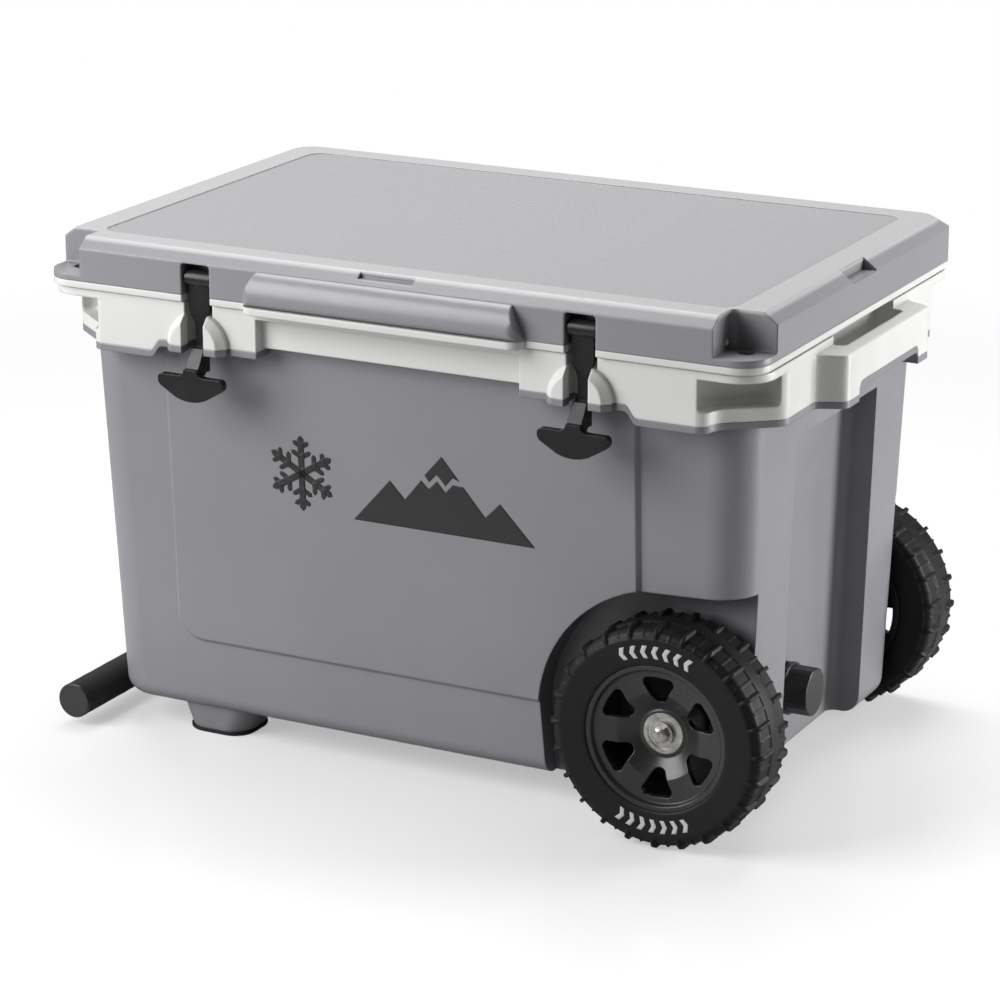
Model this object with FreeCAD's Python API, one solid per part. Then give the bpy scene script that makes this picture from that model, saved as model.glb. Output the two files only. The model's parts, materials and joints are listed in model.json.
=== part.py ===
import FreeCAD, Part
import math
import os
os.makedirs("parts", exist_ok=True)

# Wheeled hard cooler, in millimetres.
# Frame: +X runs along the length towards the wheels and drain, -Y is the latch side, +Z is up.
# The floor is z = 0 and the origin is under the centre of the cooler.

V = FreeCAD.Vector
ALONG_X, ALONG_Y, ALONG_Z = V(1, 0, 0), V(0, 1, 0), V(0, 0, 1)

# ---- driving dimensions -------------------------------------------------------------------------

# outer shell: a tapered tub, half sizes at its base and at its top
SHELL_BASE, SHELL_TOP = 26.0, 404.0
SHELL_LOW = (306.5, 171.5)
SHELL_HIGH = (317.0, 189.0)
SHELL_CORNER, SHELL_EDGE, SHELL_WALL = 35.0, 16.0, 3.5

# raised panel on both long sides of the shell, up to the shell's top
PANEL_X, PANEL_LOW, PANEL_CORNER = (-232.5, 219.0), 93.0, 25.0
PANEL_RISE, PANEL_SLOPE = 3.6, 3.2

# rim collar round the top of the shell
COLLAR_HALF, COLLAR_CORNER = (335.5, 214.0), 30.0
COLLAR_BASE, COLLAR_STEP, COLLAR_MIDDLE = 365.0, 375.5, 378.0
DECK_BASE, COLLAR_TOP = 404.0, 411.0
FLANGE = 6.0                                # grey band of the shell under the collar
MIDDLE_HALF, MIDDLE_Y = 124.0, 205.0        # set-back middle part of the long sides
STEP_START, STEP_END = 217.0, 230.0         # where the lower edge drops from step to base
DECK_OPENING, DECK_OPENING_CORNER = (296.0, 168.0), 38.0
SCOOP_START, SCOOP_END = (290.0, 199.0), (334.0, 162.0)
LOCK_POCKET_CENTRE = (305.5, 187.5)

# lift handles moulded on both ends of the collar
LIFT_X, LIFT_HALF, LIFT_ROOT_HALF = 359.5, 86.0, 108.0
LIFT_BAR, LIFT_SLOT_HALF, LIFT_SLOT_X = 13.5, 66.0, 319.0
LIFT_BAR_BASE = 376.0

# liner tub
LINER_FLOOR, LINER_WALL = 70.0, 3.0
LINER_LOW, LINER_HIGH, LINER_CORNER = (262.0, 140.0), (272.0, 152.0), 30.0
HUMP_X, HUMP_Y, HUMP_Z = 100.0, 125.0, 238.0

# lid
LID_HALF, LID_CORNER = (335.0, 218.0), 26.0
LID_PANEL_BASE, LID_SHELL_BASE, LID_BEVEL_BASE, LID_TOP = 412.0, 418.0, 447.0, 456.0
LID_BEVEL, LID_WALL = 12.0, 4.0
PLUG_BASE, PLUG_HIGH, PLUG_LOW, PLUG_CORNER = 392.0, (268.0, 148.0), (264.0, 144.0), 27.0
INSET_HALF, INSET_CORNER, INSET_DEPTH = (297.0, 182.0), 14.0, 0.8
LOCK_X, LOCK_Y, LOCK_RADIUS = 312.4, 190.4, 6.7
NOTCH_X, NOTCH_Y, NOTCH_FLOOR, NOTCH_CORNER = 296.0, 181.0, 424.0, 6.0

# lid hinge at the back
HINGE_X, HINGE_Y, HINGE_Z = 180.0, 224.0, 412.0
KNUCKLE_RADIUS, HINGE_PIN_RADIUS, LID_KNUCKLE_HALF, HINGE_HALF = 7.0, 3.0, 20.0, 39.0

# latches
LATCH_X, LATCH_Y, LATCH_Z = 180.0, 208.5, 432.0
LATCH_BARREL, LATCH_BARREL_HALF, LATCH_PIN_RADIUS, LATCH_PIN_HALF = 7.5, 12.5, 2.5, 18.5
LATCH_SLOT_HALF, LATCH_SLOT_TOP, LATCH_SLOT_Y = 14.0, 446.0, 199.5
STRAP_BACK, STRAP_FRONT = 208.0, 212.6
PULL_BACK, PULL_FRONT, PULL_TOP = 223.5, 230.0, 357.0
EAR_RADIUS, EAR_FRONT, EAR_GAP_HALF = 29.0, 225.0, 11.0
STRAP_WAY_Y = 201.0                          # back of the way that the strap runs down in the collar

# wheels
WHEEL_X, WHEEL_Z, WHEEL_RADIUS = 250.5, 97.0, 97.0
WELL_WALL_Y = 152.0
LUG_COUNT, WINDOW_COUNT = 24, 6
RIM_SEAT, RIM_LIP = 60.0, 62.9
BEARING_OUTER, BEARING_INNER, BEARING_WIDTH = 17.5, 7.5, 11.0
BALL_CIRCLE, BALL_RADIUS, BALL_COUNT = 12.5, 2.3, 8
HUB_INNER_FACE, HUB_OUTER_FACE = 163.0, 202.0
AXLE_END, WASHER_THICK = 203.0, 1.6
ANCHOR_RADIUS, ANCHOR_START = 20.0, 129.0
BOLT_RADIUS, BOLT_LENGTH, BOLT_HALF_HEX = 4.0, 35.0, 7.0
BOLT_HEAD_HEIGHT, BOLT_DOME_RADIUS = 5.2, 16.0
TYRE_HALF_LUG = 2.3

# tow handle on the left end
PIVOT_X, PIVOT_Z, PIVOT_RADIUS, ARM_EYE_RADIUS = -300.0, 304.0, 5.0, 8.4
ARM_Y, ARM_RADIUS, ARM_BEND_Z, ARM_BEND_RADIUS = 62.0, 7.5, 78.0, 45.0
GRIP_X, GRIP_Z, GRIP_RADIUS, GRIP_HALF = -331.7, 23.4, 16.0, 200.0
CROSSBAR_RADIUS = 9.0

# end recess, on both ends
RECESS_HALF, RECESS_DEPTH, RECESS_TOP = 88.0, 28.0, 328.0

# drain
DRAIN_Y, DRAIN_Z, DRAIN_BORE, DRAIN_THREAD, DRAIN_FLANGE = -30.0, 86.5, 9.0, 12.0, 15.5
SPOUT_START, SPOUT_END, FLANGE_END = 256.0, 302.0, 270.0
NUT_START, NUT_END, NUT_RADIUS = 275.0, 286.0, 22.5
SEAL_START, SEAL_END, SEAL_RADIUS = 286.5, 288.5, 20.0
CAP_START, CAP_END, CAP_RADIUS, CAP_RIM_RADIUS, CAP_RIM_WIDTH = 289.0, 313.5, 21.0, 23.0, 3.5
CAP_FLAT_COUNT, CAP_FLAT_REACH = 8, 20.3

# feet at the left end
FOOT_HIGH_X, FOOT_LOW_X = (-250.0, -164.0), (-240.0, -180.0)
FOOT_HIGH_Y, FOOT_LOW_Y = (100.0, 163.0), (105.0, 158.0)
FOOT_PAD, FOOT_CORNER = 3.0, 20.0

LEFT_RIGHT = (-1, 1)
FRONT_BACK = (("front", -1), ("back", 1))


# ---- helpers ------------------------------------------------------------------------------------

def box(x_range, y_range, z_range):
    """Axis-aligned box from three (low, high) pairs."""
    low = V(min(x_range), min(y_range), min(z_range))
    high = V(max(x_range), max(y_range), max(z_range))
    size = high - low
    return Part.makeBox(size.x, size.y, size.z, low)


def rod(radius, start, end):
    """Solid cylinder between two points."""
    way = end - start
    return Part.makeCylinder(radius, way.Length, start, way)


def ring(outer, inner, start, end):
    """Cylinder with a bore between two points."""
    return rod(outer, start, end).cut(rod(inner, start, end))


def plan(level):
    return lambda a, b: V(a, b, level)


def front_view(level):
    return lambda a, b: V(a, level, b)


def side_view(level):
    return lambda a, b: V(level, a, b)


def outline(place, start, *steps):
    """Closed wire. A step is an end point, an arc (middle, end) or a Bezier (pull, pull, end)."""
    edges = []
    here = place(*start)
    for step in steps:
        points = [place(*point) for point in step]
        if len(points) == 1:
            edges.append(Part.makeLine(here, points[-1]))
        elif len(points) == 2:
            edges.append(Part.Arc(here, points[0], points[1]).toShape())
        else:
            curve = Part.BezierCurve()
            curve.setPoles([here] + points)
            edges.append(curve.toShape())
        here = points[-1]
    if (here - place(*start)).Length > 1e-6:
        edges.append(Part.makeLine(here, place(*start)))
    return Part.Wire(edges)


def extrude(wire, way):
    return Part.Face(wire).extrude(way)


def polygon_prism(place, points, way):
    return extrude(Part.makePolygon([place(*point) for point in points + points[:1]]), way)


def rounded_wire(half, radius, z):
    """Rectangle with round corners in a horizontal plane, centred on the origin."""
    edges = []
    ends = []
    for index, (side_x, side_y) in enumerate(((1, 1), (-1, 1), (-1, -1), (1, -1))):
        centre = V(side_x * (half[0] - radius), side_y * (half[1] - radius), z)
        circle = Part.Circle(centre, ALONG_Z, radius)
        arc = Part.ArcOfCircle(circle, index * math.pi / 2, (index + 1) * math.pi / 2).toShape()
        edges.append(arc)
        ends.append((arc.valueAt(arc.FirstParameter), arc.valueAt(arc.LastParameter)))
    for index in range(4):
        edges.append(Part.makeLine(ends[index][1], ends[(index + 1) % 4][0]))
    return Part.Wire(Part.__sortEdges__(edges))


def rounded_prism(half, radius, z_low, z_high):
    return extrude(rounded_wire(half, radius, z_low), V(0, 0, z_high - z_low))


def edges_at_level(shape, z):
    """Edges that lie in one horizontal plane."""
    return [edge for edge in shape.Edges
            if abs(edge.BoundBox.ZMin - z) < 1e-3 and abs(edge.BoundBox.ZMax - z) < 1e-3]


def soften(shape, radius, *levels):
    """Round off all edges in the given horizontal planes."""
    edges = [edge for z in levels for edge in edges_at_level(shape, z)]
    return shape.makeFillet(radius, edges)


def tapered_box(low, high, z_low, z_high, corner, bottom_edge=0.0):
    """Box whose four sides lean, with round upright corners and an optional round base edge."""
    wedge = Part.makeWedge(-low[0], z_low, -low[1], -high[1], -high[0],
                           low[0], z_high, low[1], high[1], high[0])
    wedge.rotate(V(0, 0, 0), ALONG_X, 90)
    upright = [edge for edge in wedge.Edges if edge.BoundBox.ZLength > (z_high - z_low) / 2]
    shape = wedge.makeFillet(corner, upright)
    if bottom_edge:
        shape = soften(shape, bottom_edge, z_low)
    return shape


def regular_polygon(count, reach, start=0.0):
    """Corner points of a regular polygon, the first one at a start angle in degrees."""
    turns = [math.radians(start + 360.0 * index / count) for index in range(count)]
    return [(reach * math.cos(turn), reach * math.sin(turn)) for turn in turns]


def mirror_x(shape):
    return shape.mirror(V(0, 0, 0), ALONG_X)


def mirror_y(shape):
    return shape.mirror(V(0, 0, 0), ALONG_Y)


def both_x(shape):
    return [shape, mirror_x(shape)]


def four_ways(shape):
    return both_x(shape) + both_x(mirror_y(shape))


def fuse_all(shape, others):
    return shape.multiFuse(others).removeSplitter() if others else shape


def cut_all(shape, others):
    for other in others:
        shape = shape.cut(other)
    return shape


def grown(pair, amount):
    return (pair[0] + amount, pair[1] + amount)


def shell_face_x(z):
    """X of the shell's flat end at a height."""
    return SHELL_LOW[0] + (SHELL_HIGH[0] - SHELL_LOW[0]) * (z - SHELL_BASE) / (SHELL_TOP - SHELL_BASE)


def save(name, shape):
    solids = shape.Solids
    state = "ok" if shape.isValid() and solids else "BROKEN"
    shape.exportStep("parts/" + name + ".step")
    print(f"{name:32s} {state:7s} solids {len(solids):3d}  cm3 {shape.Volume / 1000:9.2f}")


# ---- shapes that several parts share ------------------------------------------------------------

def well(extra):
    """Wheel well of the back side, opened out by an extra thickness."""
    bottom, far = SHELL_BASE - 20, WHEEL_X + 100
    wire = outline(front_view(WELL_WALL_Y - extra),
                   (130 - extra, bottom),
                   ((124 - extra, 92),),
                   ((150.5 - 0.8 * extra, 163 + 0.6 * extra), (214 - 0.3 * extra, 207.5 + extra)),
                   ((far, 213 + extra),),
                   ((far, bottom),))
    return extrude(wire, V(0, 100, 0))


def end_recess(extra):
    """Recess in the wheel end's wall, opened out by an extra thickness."""
    half = RECESS_HALF + extra
    bottom, slope_low = SHELL_BASE - 20, RECESS_TOP - 16
    points = [(shell_face_x(bottom) - RECESS_DEPTH - extra, bottom),
              (shell_face_x(slope_low) - RECESS_DEPTH - extra, slope_low + 0.4 * extra),
              (shell_face_x(RECESS_TOP) + 8, RECESS_TOP + 4 + extra),
              (shell_face_x(RECESS_TOP) + 8, bottom)]
    shape = polygon_prism(front_view(-half), points, V(0, 2 * half, 0))
    upright = [edge for edge in shape.Edges
               if edge.BoundBox.ZLength > 100 and edge.BoundBox.XMax < shell_face_x(RECESS_TOP)]
    return shape.makeFillet(9.0 + extra, upright)


def raised_panel(inset):
    """Slab that stands out on the back's long side, with sloped edges, shrunk by an inset."""
    left, right, low = PANEL_X[0] + inset, PANEL_X[1] - inset, PANEL_LOW + inset
    radius, rise = PANEL_CORNER - inset, PANEL_RISE - inset
    bend = radius * (1 - math.sqrt(0.5))
    block = extrude(outline(front_view(WELL_WALL_Y), (left, SHELL_TOP), ((left, low + radius),),
                            ((left + bend, low + bend), (left + radius, low)), ((right, low),),
                            ((right, SHELL_TOP),)), V(0, 100, 0))
    slab = block.common(tapered_box(grown(SHELL_LOW, rise), grown(SHELL_HIGH, rise), SHELL_BASE,
                                    SHELL_TOP, SHELL_CORNER))
    front = max(slab.Faces, key=lambda face: face.CenterOfMass.y)
    edges = [edge for edge in front.Edges if edge.BoundBox.ZMin < SHELL_TOP - 1]
    return slab.makeChamfer(PANEL_SLOPE, edges)


def shell_form(inset):
    """The whole tub with its raised panels, shrunk by an inset."""
    tub = tapered_box(grown(SHELL_LOW, -inset), grown(SHELL_HIGH, -inset), SHELL_BASE + inset,
                      SHELL_TOP, SHELL_CORNER - inset, SHELL_EDGE - inset)
    return fuse_all(tub, [raised_panel(inset), mirror_y(raised_panel(inset))])


def shell_outside():
    return shell_form(0)


def shell_inside():
    return shell_form(SHELL_WALL)


def liner_solid(extra):
    """Room inside the liner, grown by an extra thickness, with its two wheel humps taken out."""
    tub = tapered_box(grown(LINER_LOW, extra), grown(LINER_HIGH, extra), LINER_FLOOR - extra,
                      COLLAR_TOP, LINER_CORNER + extra, 18.0 + extra)
    hump = box((HUMP_X + extra, 400), (HUMP_Y + extra, 300), (LINER_FLOOR - 30, HUMP_Z - extra))
    return tub.cut(hump).cut(mirror_y(hump))


def corner_block():
    """Solid corner of the collar that backs a lock pocket."""
    return box((264, COLLAR_HALF[0]), (142, COLLAR_HALF[1]), (COLLAR_BASE, DECK_BASE))


def corner_scoop():
    """Material missing at a collar corner below the deck, back right."""
    start, end = SCOOP_START, SCOOP_END
    wire = outline(plan(COLLAR_BASE - 20), (start[0] - 14, start[1] + 15.4),
                   ((start[0] - 6, start[1] + 15.2), (start[0] - 1.5, start[1] + 11.8),
                    (start[0], start[1] + 4)),
                   ((start[0] + 1.5, start[1] - 3), (start[0] + 5, start[1] - 6.5),
                    (start[0] + 10, start[1] - 10)),
                   ((end[0] - 8, end[1] + 7),),
                   ((end[0] - 3, end[1] + 3.2), (end[0] + 1.3, end[1] - 1), (end[0] + 1.9, end[1] - 10)),
                   ((370, end[1] - 10),), ((370, 250),), ((start[0] - 14, 250),))
    return extrude(wire, V(0, 0, DECK_BASE - COLLAR_BASE + 20))


def lock_pocket():
    """Room for a padlock behind the scoop, back right."""
    turn = math.degrees(math.atan2(SCOOP_END[1] - SCOOP_START[1], SCOOP_END[0] - SCOOP_START[0]))
    shape = box((-35, 35), (-17, 14), (COLLAR_BASE + 11, DECK_BASE))
    inner = [edge for edge in shape.Edges
             if edge.BoundBox.ZLength > 20 and edge.BoundBox.YMax < 0]
    shape = shape.makeFillet(10.0, inner)
    floor = [edge for edge in edges_at_level(shape, COLLAR_BASE + 11) if edge.BoundBox.YMin < 5]
    shape = shape.makeFillet(4.0, [edge for edge in floor if edge.BoundBox.YMax < 13.9])
    shape.rotate(V(0, 0, 0), ALONG_Z, turn)
    shape.translate(V(LOCK_POCKET_CENTRE[0], LOCK_POCKET_CENTRE[1], 0))
    return shape


def lift_handle_outside():
    """Solid block of the wheel end's lift handle, legs and bar together."""
    wire = outline(plan(COLLAR_BASE), (300, -LIFT_ROOT_HALF), ((335.5, -LIFT_ROOT_HALF),),
                   ((335.5, -LIFT_ROOT_HALF + 13), (LIFT_X, -LIFT_HALF - 13), (LIFT_X, -LIFT_HALF)),
                   ((LIFT_X, LIFT_HALF),),
                   ((LIFT_X, LIFT_HALF + 13), (335.5, LIFT_ROOT_HALF - 13), (335.5, LIFT_ROOT_HALF)),
                   ((300, LIFT_ROOT_HALF),))
    block = extrude(wire, V(0, 0, DECK_BASE - COLLAR_BASE))
    return soften(block, 2.0, DECK_BASE)


def lift_handle_gaps():
    """Finger slot behind the bar and the gap under it, wheel end."""
    slot = box((LIFT_SLOT_X, LIFT_X - LIFT_BAR), (-LIFT_SLOT_HALF, LIFT_SLOT_HALF),
               (COLLAR_BASE - 20, COLLAR_TOP + 5))
    upright = [edge for edge in slot.Edges if edge.BoundBox.ZLength > 20]
    slot = slot.makeFillet(6.0, upright)
    under = box((LIFT_SLOT_X, LIFT_X + 5), (-LIFT_SLOT_HALF, LIFT_SLOT_HALF),
                (COLLAR_BASE - 20, LIFT_BAR_BASE))
    along = [edge for edge in under.Edges
             if edge.BoundBox.XLength > 20 and edge.BoundBox.ZMin > LIFT_BAR_BASE - 1]
    return [slot, under.makeFillet(7.0, along)]


def collar_outside():
    """Outer form of the collar before its pockets, ears and bore are made."""
    skirt = rounded_prism(COLLAR_HALF, COLLAR_CORNER, COLLAR_BASE, DECK_BASE)
    long_side = box((-MIDDLE_HALF, MIDDLE_HALF), (MIDDLE_Y, 260), (COLLAR_BASE - 20, DECK_BASE))
    middle = box((-MIDDLE_HALF, MIDDLE_HALF), (120, 260), (COLLAR_BASE - 20, COLLAR_MIDDLE))
    swing = (STEP_START + STEP_END) / 2
    step = extrude(outline(front_view(120), (100, COLLAR_BASE - 20), ((100, COLLAR_STEP),),
                           ((STEP_START, COLLAR_STEP),),
                           ((swing, COLLAR_STEP), (swing, COLLAR_BASE), (STEP_END, COLLAR_BASE)),
                           ((STEP_END, COLLAR_BASE - 20),)), V(0, 140, 0))
    cuts = [long_side, middle, mirror_y(long_side), mirror_y(middle)]
    cuts += four_ways(step) + four_ways(corner_scoop())
    skirt = cut_all(skirt, cuts)
    deck = soften(rounded_prism(COLLAR_HALF, COLLAR_CORNER, DECK_BASE, COLLAR_TOP), 1.2, COLLAR_TOP)
    shape = fuse_all(skirt, [deck] + both_x(lift_handle_outside()))
    return cut_all(shape, [gap for piece in lift_handle_gaps() for gap in both_x(piece)])


# ---- body ---------------------------------------------------------------------------------------

def foot():
    """Foot boss under the left end, back side."""
    low_z, high_z = FOOT_PAD, SHELL_BASE + 14
    wedge = Part.makeWedge(FOOT_LOW_X[0], low_z, -FOOT_LOW_Y[1], -FOOT_HIGH_Y[1], FOOT_HIGH_X[0],
                           FOOT_LOW_X[1], high_z, -FOOT_LOW_Y[0], -FOOT_HIGH_Y[0], FOOT_HIGH_X[1])
    wedge.rotate(V(0, 0, 0), ALONG_X, 90)
    return wedge.makeFillet(FOOT_CORNER, [edge for edge in wedge.Edges if edge.BoundBox.ZLength > 10])


def make_outer_shell():
    outside = fuse_all(shell_outside(), [foot(), mirror_y(foot())])
    shell = outside.cut(shell_inside())
    linings = []
    for shape, room in ((well(SHELL_WALL), well(0)), (mirror_y(well(SHELL_WALL)), mirror_y(well(0))),
                        (end_recess(SHELL_WALL), end_recess(0)),
                        (mirror_x(end_recess(SHELL_WALL)), mirror_x(end_recess(0)))):
        linings.append((shape.common(outside), room))
    shell = fuse_all(shell, [lining for lining, _ in linings])
    shell = cut_all(shell, [room for _, room in linings])
    shell = cut_all(shell, four_ways(corner_block()))
    collar = fuse_all(collar_outside(), keeper_ears())
    band = collar.copy()
    band.translate(V(0, 0, -FLANGE))
    room = box((-400, 400), (-300, 300), (COLLAR_BASE - 20, LIFT_BAR_BASE + 0.2))
    middle = box((-MIDDLE_HALF, MIDDLE_HALF), (-300, 300), (COLLAR_BASE - 20, SHELL_TOP))
    band = cut_all(band.cut(collar).common(room), [middle, shell_outside()] + strap_ways())
    shell = fuse_all(shell, band.Solids)
    bores = [rod(BEARING_INNER, V(WHEEL_X, side * 120, WHEEL_Z), V(WHEEL_X, side * 170, WHEEL_Z))
             for side in LEFT_RIGHT]
    shell = cut_all(shell, bores + [drain_way()] + bracket_screw_rods())
    save("outer_shell", shell)


def make_rim_collar():
    collar = collar_outside()
    tub = rounded_prism(DECK_OPENING, DECK_OPENING_CORNER, DECK_BASE - 1, COLLAR_TOP + 1)
    collar = collar.cut(shell_outside()).cut(tub)
    blocks = [block.cut(liner_solid(LINER_WALL + 2)) for block in four_ways(corner_block())]
    blocks = [cut_all(block, four_ways(corner_scoop())) for block in blocks]
    outline_solid = rounded_prism(COLLAR_HALF, COLLAR_CORNER, COLLAR_BASE, DECK_BASE)
    blocks = [block.common(outline_solid) for block in blocks]
    collar = fuse_all(collar, blocks + keeper_ears() + collar_knuckles())
    collar = cut_all(collar, strap_ways())
    lock_holes = [rod(LOCK_RADIUS, V(side * LOCK_X, -LOCK_Y, 380), V(side * LOCK_X, -LOCK_Y, 430))
                  for side in LEFT_RIGHT]
    collar = cut_all(collar, four_ways(lock_pocket()) + lock_holes + [hinge_bore(HINGE_PIN_RADIUS)]
                     + [mirror_x(hinge_bore(HINGE_PIN_RADIUS))])
    save("rim_collar", collar)


def keeper_ears():
    """Half-round bosses, each split later into the two ears that hold a latch, on the latch side."""
    ears = []
    for side in LEFT_RIGHT:
        disc = rod(EAR_RADIUS, V(side * LATCH_X, -MIDDLE_Y, COLLAR_STEP),
                   V(side * LATCH_X, -EAR_FRONT, COLLAR_STEP))
        rim = [edge for edge in disc.Edges
               if edge.BoundBox.YLength < 1e-3 and edge.BoundBox.YMin < -EAR_FRONT + 1]
        disc = disc.makeChamfer(6.5, rim)
        ears.append(disc.common(box((-400, 400), (-300, 0), (COLLAR_STEP, DECK_BASE))))
    return ears


def strap_ways():
    """Room in the collar for the latch straps: wide in the collar, narrower between the ears."""
    ways = []
    for side in LEFT_RIGHT:
        for half, y_back in ((EAR_GAP_HALF, STRAP_WAY_Y), (LATCH_SLOT_HALF, STRAP_WAY_Y)):
            y_front = 300 if half == EAR_GAP_HALF else COLLAR_HALF[1] + 0.2
            way = box((side * LATCH_X - half, side * LATCH_X + half), (-y_front, -y_back),
                      (COLLAR_BASE - 10, COLLAR_TOP + 5))
            ways.append(way)
    return ways


def knuckle(x_low, x_high):
    return rod(KNUCKLE_RADIUS, V(x_low, HINGE_Y, HINGE_Z), V(x_high, HINGE_Y, HINGE_Z))


def hinge_bore(radius):
    return rod(radius, V(HINGE_X - HINGE_HALF, HINGE_Y, HINGE_Z), V(HINGE_X + HINGE_HALF, HINGE_Y, HINGE_Z))


def collar_knuckles():
    """Two outer knuckles of each lid hinge, with their arms."""
    shapes = []
    for low, high in ((-HINGE_HALF, -LID_KNUCKLE_HALF - 0.5), (LID_KNUCKLE_HALF + 0.5, HINGE_HALF)):
        arm = box((HINGE_X + low, HINGE_X + high), (MIDDLE_Y, HINGE_Y), (398, COLLAR_TOP))
        foot_of_arm = polygon_prism(side_view(HINGE_X + low),
                                    [(COLLAR_HALF[1] - 1, 385), (COLLAR_HALF[1] - 1, 399),
                                     (HINGE_Y + 4, 407)], V(high - low, 0, 0))
        shapes += [knuckle(HINGE_X + low, HINGE_X + high), arm, foot_of_arm]
    return shapes + [mirror_x(shape) for shape in shapes]


def make_liner():
    tub = liner_solid(LINER_WALL)
    flange = rounded_prism(DECK_OPENING, DECK_OPENING_CORNER, DECK_BASE, COLLAR_TOP)
    liner = fuse_all(tub, [flange]).cut(liner_solid(0)).cut(drain_way())
    save("inner_liner", liner)


def anchors():
    return [rod(ANCHOR_RADIUS, V(WHEEL_X, side * ANCHOR_START, WHEEL_Z),
                V(WHEEL_X, side * (WELL_WALL_Y - SHELL_WALL), WHEEL_Z)) for side in LEFT_RIGHT]


def make_body_foam():
    foam = shell_inside().cut(liner_solid(LINER_WALL))
    linings = [well(SHELL_WALL), mirror_y(well(SHELL_WALL)), end_recess(SHELL_WALL),
               mirror_x(end_recess(SHELL_WALL))]
    foam = cut_all(foam, linings + four_ways(corner_block()) + anchors() + [drain_way()]
                   + bracket_screw_rods())
    save("body_foam", foam)


def make_foot_pads():
    for name, side in FRONT_BACK:
        half = ((FOOT_LOW_X[1] - FOOT_LOW_X[0]) / 2 + 1.5, (FOOT_LOW_Y[1] - FOOT_LOW_Y[0]) / 2 + 1.5)
        pad = soften(rounded_prism(half, FOOT_CORNER, 0, FOOT_PAD), 1.2, 0)
        pad.translate(V(sum(FOOT_LOW_X) / 2, side * sum(FOOT_LOW_Y) / 2, 0))
        save("foot_pad_" + name, pad)


# ---- lid ----------------------------------------------------------------------------------------

def lid_notch(extra, floor):
    """Room at the lid's front right corner for a padlock's shackle."""
    x_low, y_high = NOTCH_X - extra, -NOTCH_Y + extra
    shape = box((x_low, 380), (y_high, -260), (floor, LID_TOP + 5))
    inner = [edge for edge in shape.Edges if edge.BoundBox.ZLength > 10
             and edge.BoundBox.XMax < x_low + 1 and edge.BoundBox.YMin > y_high - 1]
    return shape.makeFillet(NOTCH_CORNER, inner)


def latch_slot(extra):
    """Room for a latch's barrel in the lid's front right."""
    top = LATCH_SLOT_TOP + extra
    slot = box((LATCH_X - LATCH_SLOT_HALF - extra, LATCH_X + LATCH_SLOT_HALF + extra),
               (-LATCH_SLOT_Y + extra, -260), (LID_PANEL_BASE - 5, top))
    return slot.makeFillet(3.0, [edge for edge in edges_at_level(slot, top) if edge.BoundBox.YLength > 20])


def lip_plan(level, height):
    """Plan form of the lift lip at the middle of the lid's front."""
    reach, root, half, root_half = -(HINGE_Y + KNUCKLE_RADIUS), -216.0, 119.0, 131.0
    wire = outline(plan(level), (-root_half, root + 8), ((-root_half, root),),
                   ((-root_half, root - 9), (-half - 7, reach), (-half, reach)),
                   ((half, reach),),
                   ((half + 7, reach), (root_half, root - 9), (root_half, root)),
                   ((root_half, root + 8),))
    return extrude(wire, V(0, 0, height))


def lift_lip():
    nose = extrude(outline(side_view(-140), (-208, LID_SHELL_BASE), ((-225, LID_SHELL_BASE),),
                           ((-229.4, LID_SHELL_BASE + 2.6), (-230.9, LID_SHELL_BASE + 8)),
                           ((-231, 435), (-226, LID_BEVEL_BASE - 0.5), (-216, LID_BEVEL_BASE - 0.5)),
                           ((-208, LID_BEVEL_BASE - 0.5),)), V(280, 0, 0))
    sides = polygon_prism(front_view(-240), [(-132, LID_SHELL_BASE), (-119, LID_BEVEL_BASE),
                                             (119, LID_BEVEL_BASE), (132, LID_SHELL_BASE)], V(0, 40, 0))
    return nose.common(sides).common(lip_plan(LID_SHELL_BASE, 40))


def lid_form(inset, z_low, z_bevel, z_high):
    """Lid block with its bevel, shrunk by an inset."""
    low = rounded_wire(grown(LID_HALF, -inset), LID_CORNER - inset, z_bevel)
    high = rounded_wire(grown(LID_HALF, -inset - LID_BEVEL), LID_CORNER - inset - 6, z_high)
    base = rounded_prism(grown(LID_HALF, -inset), LID_CORNER - inset, z_low, z_bevel)
    return fuse_all(base, [Part.makeLoft([low, high], True, True)])


def lid_cavity():
    room = lid_form(LID_WALL, LID_SHELL_BASE, LID_BEVEL_BASE - 3, LID_TOP - LID_WALL)
    cuts = both_x(lid_notch(5, LID_SHELL_BASE - 1)) + both_x(latch_slot(5))
    edge_notches = [box((-32, 32), (side * 200, side * 240), (440, 470)) for side in LEFT_RIGHT]
    edge_notches += [box((side * 316, side * 350), (-32, 32), (438, 470)) for side in LEFT_RIGHT]
    return cut_all(room, cuts + edge_notches)


def latch_pin_rod(side, radius, half):
    return rod(radius, V(side * LATCH_X - half, -LATCH_Y, LATCH_Z),
               V(side * LATCH_X + half, -LATCH_Y, LATCH_Z))


def rivet_shank(side):
    return rod(2.0, V(side * (NOTCH_X - 4.5), -190, 430), V(side * (NOTCH_X + 0.5), -190, 430))


def rivet(side):
    """Domed rivet in the inner wall of a padlock notch."""
    centre = V(side * NOTCH_X, -190, 430)
    head = Part.makeSphere(5.0, centre - V(side * 3.0, 0, 0))
    return head.common(rod(6, centre, centre + V(side * 6, 0, 0))).fuse(rivet_shank(side))


def hinge_relief():
    """Clearance in the lid round the collar's knuckles."""
    shapes = []
    for low, high in ((-HINGE_HALF, -LID_KNUCKLE_HALF), (LID_KNUCKLE_HALF, HINGE_HALF)):
        shapes.append(rod(KNUCKLE_RADIUS + 1.0, V(HINGE_X + low - 0.5, HINGE_Y, HINGE_Z),
                          V(HINGE_X + high + 0.5, HINGE_Y, HINGE_Z)))
    return shapes + [mirror_x(shape) for shape in shapes]


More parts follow.
